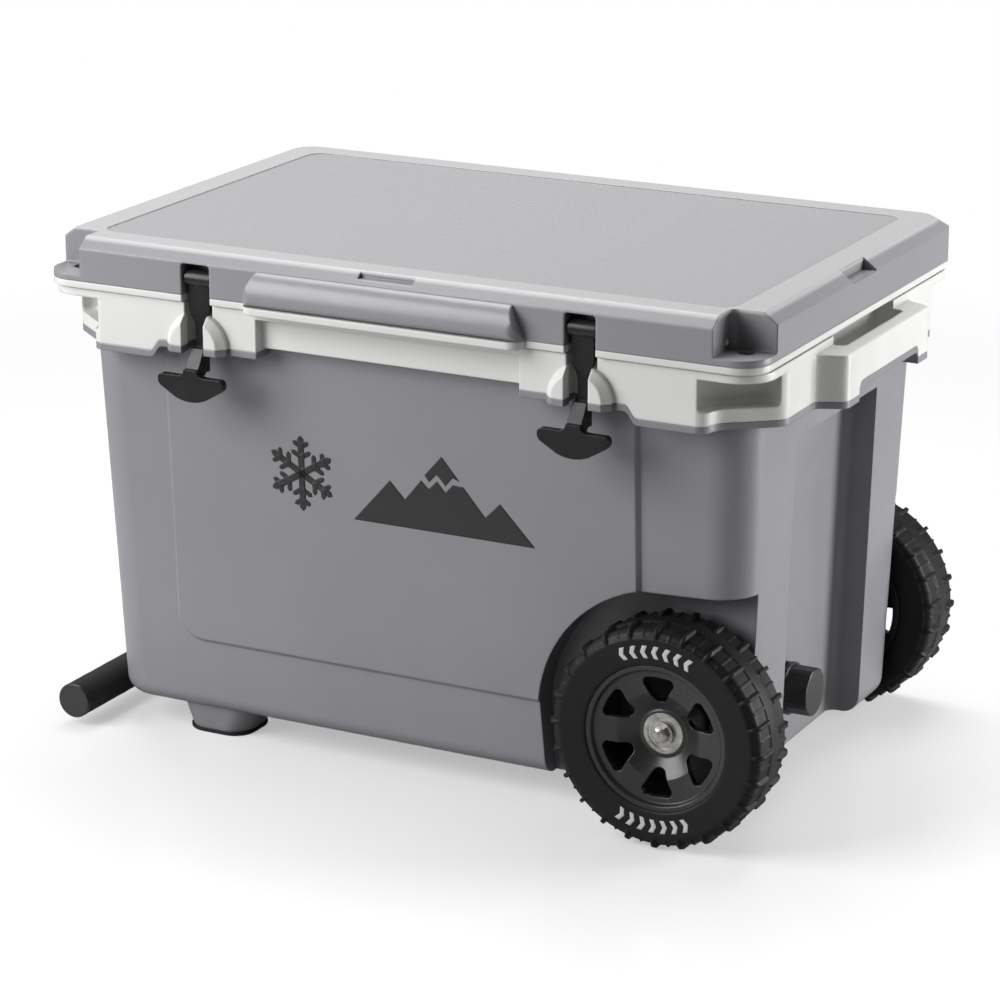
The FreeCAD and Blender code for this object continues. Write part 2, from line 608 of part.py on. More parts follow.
def make_lid_shell():
    shell = lid_form(0, LID_SHELL_BASE, LID_BEVEL_BASE, LID_TOP)
    shell = fuse_all(shell, [lift_lip()])
    inset = rounded_prism(INSET_HALF, INSET_CORNER, LID_TOP - INSET_DEPTH, LID_TOP + 5)
    cuts = [lid_cavity(), inset] + both_x(lid_notch(0, NOTCH_FLOOR)) + both_x(latch_slot(0))
    cuts += [box((-25.5, 25.5), (side * 207.5, side * 240), (450, 470)) for side in LEFT_RIGHT]
    cuts += [box((side * 323, side * 350), (-26, 26), (446, 470)) for side in LEFT_RIGHT]
    cuts += [latch_pin_rod(side, LATCH_PIN_RADIUS, LATCH_PIN_HALF) for side in LEFT_RIGHT]
    cuts += [rivet_shank(side) for side in LEFT_RIGHT] + hinge_relief()
    cuts += [rod(LOCK_RADIUS, V(side * LOCK_X, -LOCK_Y, 400), V(side * LOCK_X, -LOCK_Y, 430))
             for side in LEFT_RIGHT]
    save("lid_shell", cut_all(shell, cuts))
    save("lock_rivets", Part.makeCompound([rivet(side) for side in LEFT_RIGHT]))


def lid_plug(inset, base):
    return tapered_box(grown(PLUG_LOW, -inset), grown(PLUG_HIGH, -inset), base, LID_SHELL_BASE,
                       PLUG_CORNER - inset, 6.0)


def gasket_ring(half_out, width, z_low, z_high):
    half_in = grown(half_out, -width)
    outer = rounded_prism(half_out, 30.0, z_low, z_high)
    return outer.cut(rounded_prism(half_in, 30.0 - width, z_low, z_high))


def make_lid_panel():
    flange = rounded_prism(LID_HALF, LID_CORNER, LID_PANEL_BASE, LID_SHELL_BASE)
    flange = soften(flange, 1.0, LID_PANEL_BASE)
    strip = lip_plan(LID_PANEL_BASE, LID_SHELL_BASE - LID_PANEL_BASE)
    arm = box((HINGE_X - LID_KNUCKLE_HALF, HINGE_X + LID_KNUCKLE_HALF), (205, HINGE_Y),
              (LID_PANEL_BASE, LID_SHELL_BASE))
    knuckles = both_x(knuckle(HINGE_X - LID_KNUCKLE_HALF, HINGE_X + LID_KNUCKLE_HALF))
    panel = fuse_all(flange, [strip, lid_plug(0, PLUG_BASE)] + both_x(arm) + knuckles)
    groove = gasket_ring((287.0, 163.0), 8.0, LID_PANEL_BASE - 1, LID_PANEL_BASE + 2.5)
    latch_way = box((LATCH_X - LATCH_SLOT_HALF, LATCH_X + LATCH_SLOT_HALF), (-205, -260), (400, 430))
    cuts = [lid_plug(3.5, PLUG_BASE + 3.5), groove] + both_x(latch_way) + hinge_relief()
    cuts += both_x(hinge_bore(HINGE_PIN_RADIUS + 0.06))
    cuts += [rod(LOCK_RADIUS, V(side * LOCK_X, -LOCK_Y, 400), V(side * LOCK_X, -LOCK_Y, 430))
             for side in LEFT_RIGHT]
    save("lid_inner_panel", cut_all(panel, cuts))
    save("lid_gasket", gasket_ring((286.5, 162.5), 7.0, LID_PANEL_BASE - 0.6, LID_PANEL_BASE + 2.5))
    save("lid_foam", fuse_all(lid_cavity(), [lid_plug(3.5, PLUG_BASE + 3.5)]))


def make_hinge_pins():
    for name, side in (("left", -1), ("right", 1)):
        pin = rod(HINGE_PIN_RADIUS, V(side * HINGE_X - HINGE_HALF, HINGE_Y, HINGE_Z),
                  V(side * HINGE_X + HINGE_HALF, HINGE_Y, HINGE_Z))
        save("hinge_pin_" + name, pin)


# ---- latches ------------------------------------------------------------------------------------

def make_latches():
    for name, side in (("left", -1), ("right", 1)):
        barrel = latch_pin_rod(side, LATCH_BARREL, LATCH_BARREL_HALF)
        thick = V(0, STRAP_BACK - STRAP_FRONT, 0)
        strap = extrude(outline(front_view(-STRAP_BACK), (-10, LATCH_Z), ((-10, 408),),
                                ((-10, 400), (-4, 398), (-4, 388)), ((-4, 382),),
                                ((-4, 377), (-6.5, 378), (-6.5, 370)), ((-6.5, 352),), ((6.5, 352),),
                                ((6.5, 370),), ((6.5, 378), (4, 377), (4, 382)), ((4, 388),),
                                ((4, 398), (10, 400), (10, 408)), ((10, LATCH_Z),)), thick)
        cheek = box((-10, 10), (-LATCH_Y, -STRAP_FRONT), (LATCH_Z - 7.5, LATCH_Z))
        neck = polygon_prism(side_view(-6.5), [(-STRAP_BACK, 373), (-STRAP_BACK - 9, 373),
                                               (-PULL_FRONT, 352), (-PULL_FRONT, 345),
                                               (-PULL_BACK, 345), (-STRAP_BACK, 357)], V(13, 0, 0))
        pull = extrude(outline(front_view(-PULL_BACK), (-28, 351), ((-31.1, 349.6), (-32, 346.5)),
                               ((-31.2, 342.6), (-28.5, 340),), ((-15, 332),), ((0, 328.8), (15, 332)),
                               ((28.5, 340),), ((31.2, 342.6), (32, 346.5)), ((31.1, 349.6), (28, 351)),
                               ((13, 351),), ((8.5, 351.5), (6.5, 353.5), (6.5, PULL_TOP)),
                               ((-6.5, PULL_TOP),), ((-6.5, 353.5), (-8.5, 351.5), (-13, 351))),
                       V(0, PULL_BACK - PULL_FRONT, 0))
        latch = fuse_all(strap, [cheek, neck, pull])
        latch.translate(V(side * LATCH_X, 0, 0))
        latch = fuse_all(barrel, [latch]).cut(latch_pin_rod(side, LATCH_PIN_RADIUS + 0.06, 30))
        below = box((-400, 400), (-300, 0), (300, PULL_TOP))
        save("latch_strap_" + name, latch.cut(below))
        save("latch_pull_" + name, latch.common(below))
        save("latch_pin_" + name, latch_pin_rod(side, LATCH_PIN_RADIUS, LATCH_PIN_HALF))


# ---- wheels -------------------------------------------------------------------------------------
# A wheel is built about the Z axis with its outward direction upwards, then laid into place.

def turned(start, *steps):
    """Solid of revolution about Z from an outline of (radius, height) points."""
    wire = outline(lambda r, h: V(r, 0, h), start, *steps)
    return Part.Face(wire).revolve(V(0, 0, 0), ALONG_Z, 360)


def around(shape, count, start=0.0):
    copies = []
    for index in range(count):
        copy = shape.copy()
        copy.rotate(V(0, 0, 0), ALONG_Z, start + index * 360.0 / count)
        copies.append(copy)
    return copies


def lay_wheel(shape, side):
    """Move a shape from the wheel's own axis to the front (-1) or back (1) wheel position."""
    shape = shape.copy()
    shape.rotate(V(0, 0, 0), ALONG_X, 90)
    shape.translate(V(WHEEL_X, 0, WHEEL_Z))
    return shape if side < 0 else mirror_y(shape)


def make_tyre():
    tyre = turned((RIM_SEAT, 166), ((RIM_SEAT, 215),), ((RIM_LIP, 215.5),), ((RIM_LIP, 217.8),),
                  ((64.5, 218.8),), ((86, 220.5),),
                  ((92.3, 218.2), (94.6, 211.5)), ((94.8, 205),), ((95.2, 190.5), (94.8, 176)),
                  ((94.6, 169.5),), ((92.3, 162.8), (86, 160.5)), ((64.5, 162.2),),
                  ((RIM_LIP, 163.2),), ((RIM_LIP, 165.5),))
    lug_low = box((86, WHEEL_RADIUS), (-TYRE_HALF_LUG, TYRE_HALF_LUG), (160.6, 184))
    lug_high = box((86, WHEEL_RADIUS), (-TYRE_HALF_LUG, TYRE_HALF_LUG), (197, 220.4))
    slope = turned((60, 158), ((90.5, 158),), ((WHEEL_RADIUS, 166),), ((WHEEL_RADIUS, 215),),
                   ((90.5, 223),), ((60, 223),))
    lugs = [lug.common(slope) for lug in around(lug_low, LUG_COUNT) + around(lug_high, LUG_COUNT, 7.5)]
    return fuse_all(tyre, lugs)


def rim_window():
    """One of the openings between the spokes, with round ends."""
    wire = outline(plan(150), (30.5, -5), ((28.7, 0), (30.5, 5)), ((43, 12.0),),
                   ((49.3, 12.9), (51.4, 7.5)), ((52.2, 0), (51.4, -7.5)), ((49.3, -12.9), (43, -12.0)))
    return extrude(wire, V(0, 0, 80))


def make_rim():
    rim = turned((BEARING_OUTER, HUB_INNER_FACE), ((BEARING_OUTER, HUB_INNER_FACE + BEARING_WIDTH),),
                 ((15.5, HUB_INNER_FACE + BEARING_WIDTH),), ((15.5, HUB_OUTER_FACE - BEARING_WIDTH),),
                 ((BEARING_OUTER, HUB_OUTER_FACE - BEARING_WIDTH),), ((BEARING_OUTER, HUB_OUTER_FACE),),
                 ((19.5, HUB_OUTER_FACE),), ((20.6, 201.4), (21.8, 201.6)), ((34.5, 209.8),),
                 ((37.5, 211.4),), ((57, 213.6),), ((59, 217),), ((RIM_LIP, 217.5),),
                 ((RIM_LIP, 215.5),), ((RIM_SEAT, 215),),
                 ((RIM_SEAT, 166),), ((RIM_LIP, 165.5),), ((RIM_LIP, 163.5),), ((57, 163.5),),
                 ((55.5, 207.5),), ((38, 205.5),), ((24, 196.5),), ((22, HUB_INNER_FACE),))
    return cut_all(rim, around(rim_window(), WINDOW_COUNT, 30))


def race_pair(shape_at):
    """The same bearing piece at the hub's inner and outer mouths."""
    return Part.makeCompound([shape_at(HUB_INNER_FACE), shape_at(HUB_OUTER_FACE - BEARING_WIDTH)])


def ball_track(level):
    return Part.makeTorus(BALL_CIRCLE, BALL_RADIUS + 0.2, V(0, 0, level + BEARING_WIDTH / 2), ALONG_Z)


def outer_race(level):
    ends = (V(0, 0, level), V(0, 0, level + BEARING_WIDTH))
    race = ring(BEARING_OUTER, 14.0, *ends).cut(ball_track(level))
    shields = [ring(14.5, 11.06, V(0, 0, level + low), V(0, 0, level + low + 0.8))
               for low in (0.6, BEARING_WIDTH - 1.4)]
    return fuse_all(race, shields)


def inner_race(level):
    return ring(11.0, BEARING_INNER, V(0, 0, level), V(0, 0, level + BEARING_WIDTH)).cut(ball_track(level))


def ball_set(level):
    ball = Part.makeSphere(BALL_RADIUS, V(BALL_CIRCLE, 0, level + BEARING_WIDTH / 2))
    return Part.makeCompound(around(ball, BALL_COUNT))


def make_wheels():
    tyre, rim = make_tyre(), make_rim()
    for name, side in FRONT_BACK:
        save("tyre_" + name, lay_wheel(tyre, side))
        save("rim_" + name, lay_wheel(rim, side))
        save("bearing_outer_races_" + name, lay_wheel(race_pair(outer_race), side))
        save("bearing_balls_" + name, lay_wheel(race_pair(ball_set), side))


def make_axles():
    bolt_end, head_start = AXLE_END - BOLT_LENGTH, AXLE_END + WASHER_THICK
    stub = turned((BOLT_RADIUS, bolt_end), ((BOLT_RADIUS, AXLE_END),), ((BEARING_INNER, AXLE_END),),
                  ((BEARING_INNER, HUB_INNER_FACE),), ((9.5, HUB_INNER_FACE),), ((9.5, 156),),
                  ((22, 156),), ((22, WELL_WALL_Y),), ((BEARING_INNER, WELL_WALL_Y),),
                  ((BEARING_INNER, 130),), ((0, 130),), ((0, bolt_end),))
    spacer = ring(9.5, BEARING_INNER, V(0, 0, HUB_INNER_FACE + BEARING_WIDTH),
                  V(0, 0, HUB_OUTER_FACE - BEARING_WIDTH))
    washer = ring(9.8, BOLT_RADIUS, V(0, 0, AXLE_END), V(0, 0, head_start))
    hexagon = regular_polygon(6, BOLT_HALF_HEX)
    head = polygon_prism(plan(head_start), hexagon, V(0, 0, BOLT_HEAD_HEIGHT))
    dome_centre = head_start + BOLT_HEAD_HEIGHT + 0.5 - BOLT_DOME_RADIUS
    dome = Part.makeSphere(BOLT_DOME_RADIUS, V(0, 0, dome_centre))
    bolt = head.common(dome).fuse(rod(BOLT_RADIUS, V(0, 0, bolt_end + 1), V(0, 0, head_start + 0.4)))
    anchor = ring(ANCHOR_RADIUS, BEARING_INNER, V(0, 0, ANCHOR_START), V(0, 0, WELL_WALL_Y - SHELL_WALL))
    anchor = anchor.fuse(rod(BEARING_INNER, V(0, 0, ANCHOR_START), V(0, 0, 130)))
    for name, shape in (("axle_stubs", stub), ("bearing_spacers", spacer), ("axle_washers", washer),
                        ("axle_bolts", bolt), ("axle_anchors", anchor),
                        ("bearing_inner_races", race_pair(inner_race))):
        pieces = [lay_wheel(shape, side) for _, side in FRONT_BACK]
        save(name, Part.makeCompound([solid for piece in pieces for solid in piece.Solids]))


# ---- tow handle ---------------------------------------------------------------------------------

def bracket_screw_rods():
    rods = []
    for y in (ARM_Y - 6.5, ARM_Y + 6.5):
        for side in LEFT_RIGHT:
            rods.append(rod(1.8, V(-272, side * y, PIVOT_Z - 15), V(-291, side * y, PIVOT_Z - 15)))
    return rods


def make_handle_brackets():
    recess = mirror_x(end_recess(0))
    for name, side in FRONT_BACK:
        plate = box((-280, -290), (ARM_Y - 14, ARM_Y + 14), (PIVOT_Z - 21, PIVOT_Z + 3))
        shapes = []
        for y in (ARM_Y - 14, ARM_Y + 11):
            eye = rod(9.5, V(PIVOT_X, y, PIVOT_Z), V(PIVOT_X, y + 3, PIVOT_Z))
            arm = polygon_prism(front_view(y), [(-280, PIVOT_Z - 21), (-280, PIVOT_Z + 3),
                                                (PIVOT_X, PIVOT_Z + 9.4), (PIVOT_X - 8, PIVOT_Z - 5.5)],
                                V(0, 3, 0))
            shapes += [eye, arm]
        bracket = fuse_all(plate, shapes)
        bracket = bracket if side > 0 else mirror_y(bracket)
        bracket = bracket.common(recess)
        pin_way = rod(PIVOT_RADIUS, V(PIVOT_X, side * 40, PIVOT_Z), V(PIVOT_X, side * 90, PIVOT_Z))
        save("handle_bracket_" + name, cut_all(bracket, [pin_way] + bracket_screw_rods()))
    heads = [rod(3.6, V(-290, side * y, PIVOT_Z - 15), V(-291.2, side * y, PIVOT_Z - 15))
             for y in (ARM_Y - 6.5, ARM_Y + 6.5) for side in LEFT_RIGHT]
    screws = [fuse_all(head, [shank]) for head, shank in zip(heads, bracket_screw_rods())]
    save("bracket_screws", Part.makeCompound(screws))
    pins = [rod(PIVOT_RADIUS, V(PIVOT_X, side * (ARM_Y - 15.5), PIVOT_Z),
                V(PIVOT_X, side * (ARM_Y + 15.5), PIVOT_Z)) for side in LEFT_RIGHT]
    save("handle_pivot_pins", Part.makeCompound(pins))
    bumpers = []
    for side in LEFT_RIGHT:
        bumper = rod(8.0, V(-270, side * ARM_Y, 120), V(PIVOT_X + ARM_RADIUS + 0.4, side * ARM_Y, 120))
        bumpers.append(bumper.common(recess))
    save("handle_bumpers", Part.makeCompound(bumpers))


def arm_path(side):
    """Straight down from the pivot, one bend outwards, then straight to the crossbar."""
    y = side * ARM_Y
    top, bend, end = V(PIVOT_X, y, PIVOT_Z), V(PIVOT_X, y, ARM_BEND_Z), V(GRIP_X, y, GRIP_Z)
    first, second = (top - bend).normalize(), (end - bend).normalize()
    half_turn = (math.pi - first.getAngle(second)) / 2
    reach = ARM_BEND_RADIUS * math.tan(half_turn)
    start_arc, end_arc = bend + first * reach, bend + second * reach
    to_centre = (first + second).normalize()
    centre = bend + to_centre * (ARM_BEND_RADIUS / math.cos(half_turn))
    middle = centre - to_centre * ARM_BEND_RADIUS
    return Part.Wire([Part.makeLine(top, start_arc), Part.Arc(start_arc, middle, end_arc).toShape(),
                      Part.makeLine(end_arc, end)])


def make_tow_handle():
    crossbar = rod(CROSSBAR_RADIUS, V(GRIP_X, -GRIP_HALF + 4, GRIP_Z), V(GRIP_X, GRIP_HALF - 4, GRIP_Z))
    for name, side in FRONT_BACK:
        path = arm_path(side)
        circle = Part.makeCircle(ARM_RADIUS, V(PIVOT_X, side * ARM_Y, PIVOT_Z), ALONG_Z)
        tube = path.makePipe(Part.Face(Part.Wire(circle)))
        eye = rod(ARM_EYE_RADIUS, V(PIVOT_X, side * (ARM_Y - 10.5), PIVOT_Z),
                  V(PIVOT_X, side * (ARM_Y + 10.5), PIVOT_Z))
        bore = rod(PIVOT_RADIUS + 0.06, V(PIVOT_X, side * 40, PIVOT_Z), V(PIVOT_X, side * 90, PIVOT_Z))
        save("handle_arm_" + name, fuse_all(tube, [eye]).cut(bore).cut(crossbar))
    save("handle_crossbar", crossbar)
    inner, outer = ARM_Y - 10, ARM_Y + 10
    for name, low, high in (("front", -GRIP_HALF + 4, -outer), ("middle", -inner, inner),
                            ("back", outer, GRIP_HALF - 4)):
        sleeve = ring(GRIP_RADIUS, CROSSBAR_RADIUS, V(GRIP_X, low, GRIP_Z), V(GRIP_X, high, GRIP_Z))
        save("grip_foam_" + name, sleeve)
    caps = []
    for side in LEFT_RIGHT:
        cap = rod(GRIP_RADIUS, V(GRIP_X, side * (GRIP_HALF - 4), GRIP_Z),
                  V(GRIP_X, side * GRIP_HALF, GRIP_Z))
        rim = [edge for edge in cap.Edges
               if edge.BoundBox.YLength < 1e-3 and abs(edge.BoundBox.YMin) > GRIP_HALF - 1]
        caps.append(cap.makeFillet(1.2, rim))
    save("grip_end_caps", Part.makeCompound(caps))


# ---- drain --------------------------------------------------------------------------------------

def drain_point(x):
    return V(x, DRAIN_Y, DRAIN_Z)


def drain_way():
    """Hole for the spout through liner, foam and shell."""
    return rod(DRAIN_THREAD, drain_point(240), drain_point(296))


def make_drain():
    flange = rod(DRAIN_FLANGE, drain_point(SPOUT_START), drain_point(FLANGE_END)).common(liner_solid(0))
    spout = fuse_all(rod(DRAIN_THREAD, drain_point(SPOUT_START), drain_point(SPOUT_END)), [flange])
    bore = rod(DRAIN_BORE, drain_point(SPOUT_START - 5), drain_point(SPOUT_END + 5))
    save("drain_spout", spout.cut(bore))
    nut = ring(NUT_RADIUS, DRAIN_THREAD, drain_point(NUT_START), drain_point(NUT_END))
    save("drain_nut", nut.common(end_recess(0)))
    save("drain_cap_gasket", ring(SEAL_RADIUS, DRAIN_THREAD + 0.6, drain_point(SEAL_START),
                                  drain_point(SEAL_END)))


def make_drain_cap():
    """Round cap with flats that stop short of its rim."""
    cap = rod(CAP_RADIUS, drain_point(CAP_START), drain_point(CAP_END))
    face = [edge for edge in cap.Edges
            if edge.BoundBox.XLength < 1e-3 and edge.BoundBox.XMin > CAP_END - 1]
    cap = cap.makeFillet(1.5, face)
    half_step = 180.0 / CAP_FLAT_COUNT
    corner_reach = CAP_FLAT_REACH / math.cos(math.radians(half_step))
    corners = [(DRAIN_Y + y, DRAIN_Z + z)
               for y, z in regular_polygon(CAP_FLAT_COUNT, corner_reach, half_step)]
    core = polygon_prism(side_view(CAP_START), corners, V(40, 0, 0))
    flats = rod(CAP_RADIUS + 5, drain_point(CAP_START + 5), drain_point(CAP_END + 1)).cut(core)
    rim = rod(CAP_RIM_RADIUS, drain_point(CAP_START), drain_point(CAP_START + CAP_RIM_WIDTH))
    bore = rod(DRAIN_THREAD + 0.08, drain_point(CAP_START - 1), drain_point(CAP_END - 7))
    save("drain_cap", fuse_all(cap.cut(flats), [rim]).cut(bore))


make_outer_shell()
make_rim_collar()
make_liner()
make_body_foam()
make_foot_pads()
make_lid_shell()
make_lid_panel()
make_hinge_pins()
make_latches()
make_wheels()
make_axles()
make_handle_brackets()
make_tow_handle()
make_drain()
make_drain_cap()
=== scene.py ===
"""Looks of the wheeled cooler: materials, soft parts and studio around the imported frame. Metres."""
import json
import math

import bmesh
import bpy
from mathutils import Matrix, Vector


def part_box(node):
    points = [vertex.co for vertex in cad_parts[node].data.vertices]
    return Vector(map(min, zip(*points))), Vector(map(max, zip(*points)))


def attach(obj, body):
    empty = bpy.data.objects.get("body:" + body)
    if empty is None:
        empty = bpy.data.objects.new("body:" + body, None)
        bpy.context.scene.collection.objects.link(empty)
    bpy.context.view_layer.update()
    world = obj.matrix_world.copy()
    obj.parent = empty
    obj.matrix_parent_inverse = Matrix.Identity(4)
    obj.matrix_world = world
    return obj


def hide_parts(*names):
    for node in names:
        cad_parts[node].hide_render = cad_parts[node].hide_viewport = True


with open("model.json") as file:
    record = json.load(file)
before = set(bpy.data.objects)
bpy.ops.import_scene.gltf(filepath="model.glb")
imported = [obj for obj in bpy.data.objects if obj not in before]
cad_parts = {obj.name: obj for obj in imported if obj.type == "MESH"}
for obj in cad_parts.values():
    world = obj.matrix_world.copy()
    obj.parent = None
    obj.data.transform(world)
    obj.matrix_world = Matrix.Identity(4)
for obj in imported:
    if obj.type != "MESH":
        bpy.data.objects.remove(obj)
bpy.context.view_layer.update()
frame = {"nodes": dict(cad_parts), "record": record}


# ---------------------------------------------------------------- camera

# the place, turn and lens that the photograph was taken with, as near as its edges tell
CAMERA_PLACE = (1.3891, -2.6810, 1.1525)
CAMERA_TURN = (math.radians(72.57), 0.0, math.radians(27.47))
CAMERA_LENS = 128.3


def make_camera():
    data = bpy.data.cameras.new("camera")
    data.lens = CAMERA_LENS
    data.sensor_width = 36.0
    data.clip_start = 0.05
    data.clip_end = 60.0
    camera = bpy.data.objects.new("camera", data)
    camera.location = CAMERA_PLACE
    camera.rotation_euler = CAMERA_TURN
    bpy.context.scene.collection.objects.link(camera)
    bpy.context.scene.camera = camera


make_camera()


# ---------------------------------------------------------------- node helpers

class Recipe:
    """A material under construction, with short calls for the nodes that the finishes share."""

    def __init__(self, name, colour, roughness, **sockets):
        self.material = bpy.data.materials.new(name)
        self.material.use_nodes = True
        self.tree = self.material.node_tree
        self.shader = self.tree.nodes["Principled BSDF"]
        self.shader.inputs["Base Color"].default_value = (*colour, 1.0)
        self.shader.inputs["Roughness"].default_value = roughness
        for socket, value in sockets.items():
            self.shader.inputs[socket.replace("_", " ")].default_value = value
        self.place = self.tree.nodes.new("ShaderNodeTexCoord").outputs["Object"]
        self.height = None

    def node(self, kind, inputs=(), **settings):
        """Adds a shader node, with values or other nodes' outputs on its inputs."""
        made = self.tree.nodes.new("ShaderNode" + kind)
        for name, value in settings.items():
            setattr(made, name, value)
        for key, value in dict(inputs).items():
            self.put(value, made.inputs[key])
        return made

    def put(self, value, socket):
        if isinstance(value, bpy.types.NodeSocket):
            self.tree.links.new(value, socket)
        else:
            socket.default_value = value

    def math(self, operation, first, second=0.0):
        return self.node("Math", {0: first, 1: second}, operation=operation).outputs[0]

    def noise(self, scale, detail=3.0, where=None):
        inputs = {"Vector": where or self.place, "Scale": scale, "Detail": detail}
        return self.node("TexNoise", inputs).outputs["Fac"]

    def steps(self, value, low, high, low_to=0.0, high_to=1.0):
        """Carries the span from low to high over to the span from low_to to high_to."""
        inputs = {"Value": value, "From Min": low, "From Max": high, "To Min": low_to, "To Max": high_to}
        return self.node("MapRange", inputs).outputs["Result"]

    def blend(self, factor, first, second):
        made = self.node("Mix", data_type="RGBA")
        self.put(factor, made.inputs["Factor"])
        self.put(first, made.inputs["A"])
        self.put(second, made.inputs["B"])
        return made.outputs["Result"]

    def axes(self):
        return self.node("SeparateXYZ", {"Vector": self.place}).outputs

    def bump(self, height, distance, strength):
        """Raises the surface by a height, on top of any bump or softening set before."""
        inputs = {"Height": height, "Distance": distance, "Strength": strength}
        if self.height is not None:
            inputs["Normal"] = self.height
        self.height = self.node("Bump", inputs).outputs["Normal"]
        self.tree.links.new(self.height, self.shader.inputs["Normal"])

    def edges(self, width):
        """How far a surface turns within a width: 0 on flats, near 1 on sharp edges."""
        rounded = self.node("Bevel", {"Radius": width}, samples=4).outputs["Normal"]
        flat = self.node("NewGeometry").outputs["Normal"]
        cosine = self.node("VectorMath", {0: rounded, 1: flat}, operation="DOT_PRODUCT").outputs["Value"]
        return self.steps(cosine, 1.0, 0.8)

    def soften(self, radius):
        """Shades the moulded edges as if they had a small radius; called before any bump."""
        self.height = self.node("Bevel", {"Radius": radius}, samples=6).outputs["Normal"]
        self.tree.links.new(self.height, self.shader.inputs["Normal"])

    def occlusion_shade(self, reach=0.07):
        """1 in the open, near 0 deep in a recess; used to paint shade into recesses as a darker colour."""
        return self.node("AmbientOcclusion", {"Distance": reach}, samples=6).outputs["AO"]

    def colour(self, value):
        self.put(value, self.shader.inputs["Base Color"])

    def roughness(self, value):
        self.put(value, self.shader.inputs["Roughness"])


def tint(colour, share):
    """A colour made lighter or darker by a share, with its alpha."""
    return tuple(min(1.0, part * share) for part in colour) + (1.0,)


# ---------------------------------------------------------------- materials

def moulded(name, colour, roughness, wear=1.25, edge=0.0018, shade_share=0.3):
    """Moulded plastic: broad tone drift, fine grain, worn edges, and painted shade that darkens nooks to a
    share.
    """
    recipe = Recipe(name, colour, roughness)
    recipe.soften(edge)
    drift = recipe.steps(recipe.noise(6.0), 0.3, 0.7)
    body = recipe.blend(drift, tint(colour, 0.965), tint(colour, 1.035))
    speckle = recipe.steps(recipe.noise(1400.0, 1.0), 0.55, 0.75, 0.0, 0.35)
    body = recipe.blend(speckle, body, tint(colour, 1.10))
    worn = recipe.math("MULTIPLY", recipe.edges(0.0012), recipe.steps(recipe.noise(45.0), 0.42, 0.62))
    body = recipe.blend(worn, body, tint(colour, wear))
    # painted shade: the colour is darkened towards the shade share deep in recesses, where shade falls
    painted_shade = recipe.steps(recipe.occlusion_shade(), 0.05, 0.6, 1.0, 0.0)
    body = recipe.blend(painted_shade, body, tint(colour, shade_share))
    recipe.colour(body)
    recipe.body = body
    recipe.roughness(recipe.steps(recipe.noise(30.0, 4.0), 0.3, 0.7, roughness - 0.05, roughness + 0.05))
    recipe.bump(recipe.noise(900.0, 2.0), 0.00006, 0.6)
    return recipe


def inside_rounded(recipe, half, corner, soft):
    """1 inside a rounded rectangle round the vertical axis, 0 outside."""
    x, y, _ = recipe.axes()
    away = []
    for value, limit in ((x, half[0]), (y, half[1])):
        beyond = recipe.math("SUBTRACT", recipe.math("ABSOLUTE", value), limit - corner)
        away.append(recipe.math("MAXIMUM", beyond, 0.0))
    distance = recipe.math("SQRT", recipe.math("ADD", recipe.math("POWER", away[0], 2.0),
                                               recipe.math("POWER", away[1], 2.0)))
    return recipe.steps(distance, corner, corner - soft)


LID_PANEL_HALF, LID_PANEL_CORNER = (0.297, 0.182), 0.014
DOT_PITCH = 0.0032


def lid_plastic():
    """The lid's plastic: a dotted matt panel inside a smooth, brighter border."""
    recipe = moulded("lid_grey", (0.235, 0.235, 0.25), 0.33, edge=0.003)
    _, _, z = recipe.axes()
    top = recipe.steps(z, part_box("lid_shell")[1].z - 0.0035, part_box("lid_shell")[1].z - 0.0015)
    panel = recipe.math("MULTIPLY", inside_rounded(recipe, LID_PANEL_HALF, LID_PANEL_CORNER, 0.0004), top)
    border = recipe.math("SUBTRACT", top, panel)
    turned = recipe.node("Mapping", {"Vector": recipe.place, "Rotation": (0.0, 0.0, math.radians(45))})
    cells = recipe.node("TexVoronoi", {"Vector": turned.outputs["Vector"], "Scale": 1.0 / DOT_PITCH,
                                       "Randomness": 0.0}, voronoi_dimensions="2D").outputs["Distance"]
    dots = recipe.steps(cells, 0.36, 0.22)
    dotted = recipe.math("MULTIPLY", dots, panel)
    body = recipe.blend(border, recipe.body, (0.42, 0.42, 0.425, 1.0))
    body = recipe.blend(panel, body, (0.275, 0.275, 0.288, 1.0))
    recipe.colour(recipe.blend(recipe.math("MULTIPLY", dotted, 0.35), body, (0.34, 0.34, 0.353, 1.0)))
    recipe.roughness(recipe.steps(panel, 0.0, 1.0, 0.34, 0.55))
    recipe.bump(dotted, 0.00025, 0.9)
    return recipe.material


def rubber(name, colour, roughness, grain=1500.0, depth=0.00008, dusty=1.7, edge=0.0012, shine=0.3):
    """Dark rubber with dust in patches and a fine grain."""
    recipe = Recipe(name, colour, roughness)
    recipe.soften(edge)
    recipe.shader.inputs["Specular IOR Level"].default_value = shine
    dust = recipe.steps(recipe.noise(22.0, 5.0), 0.45, 0.75, 0.0, 0.5)
    recipe.colour(recipe.blend(dust, tint(colour, 1.0), tint(colour, dusty)))
    recipe.roughness(recipe.steps(recipe.noise(60.0), 0.3, 0.7, roughness - 0.06, roughness + 0.06))
    recipe.bump(recipe.noise(grain, 2.0), depth, 0.7)
    return recipe


def steel():
    """Bright steel with fine drawn lines."""
    recipe = Recipe("steel", (0.45, 0.44, 0.42), 0.30, Metallic=1.0)
    stretched = recipe.node("Mapping", {"Vector": recipe.place, "Scale": (1.0, 60.0, 1.0)}).outputs["Vector"]
    lines = recipe.noise(260.0, 3.0, stretched)
    recipe.colour(recipe.blend(lines, (0.38, 0.37, 0.355, 1), (0.54, 0.53, 0.51, 1)))
    recipe.roughness(recipe.steps(lines, 0.3, 0.7, 0.24, 0.38))
    recipe.bump(lines, 0.00003, 0.4)
    return recipe.material


WHEEL_CENTRE = (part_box("tyre_front")[0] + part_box("tyre_front")[1]) / 2


